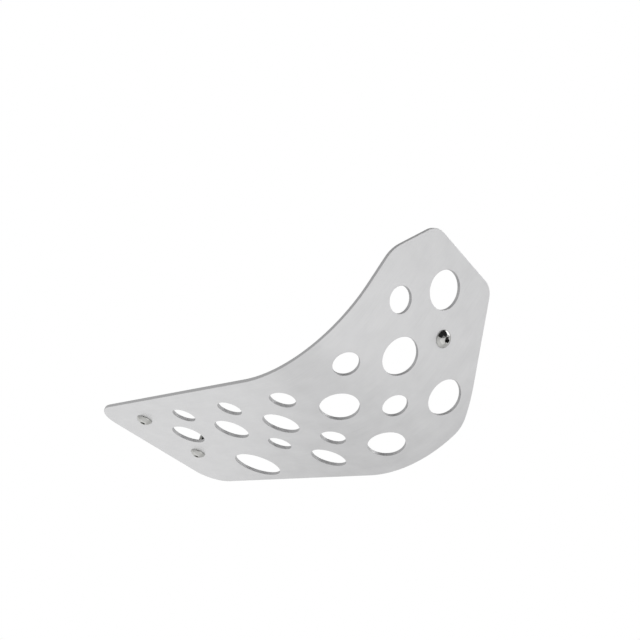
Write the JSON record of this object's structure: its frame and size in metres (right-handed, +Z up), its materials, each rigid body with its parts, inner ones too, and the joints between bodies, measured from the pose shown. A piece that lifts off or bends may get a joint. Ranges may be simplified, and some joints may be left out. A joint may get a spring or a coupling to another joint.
{
  "type": "motorcycle skid plate",
  "caption": "Rolled aluminium skid plate with a staggered pattern of round holes and a tapered, turned-up front, screwed under an engine to guard it from stones and knocks.",
  "frame": {"origin": "midway between the two rear screws, on the inner face of the bottom", "axes": "+X forward along the plate, +Y to the rider's left, +Z up, away from the ground"},
  "size_m": [0.3361, 0.155, 0.1312],
  "materials": {
    "sheet": "satin aluminium sheet with a fine grain along its length",
    "screw": "polished stainless steel"
  },
  "bodies": {
    "root": {"skid_plate": "sheet", "mounting_screws": "screw"}
  },
  "joints": []
}
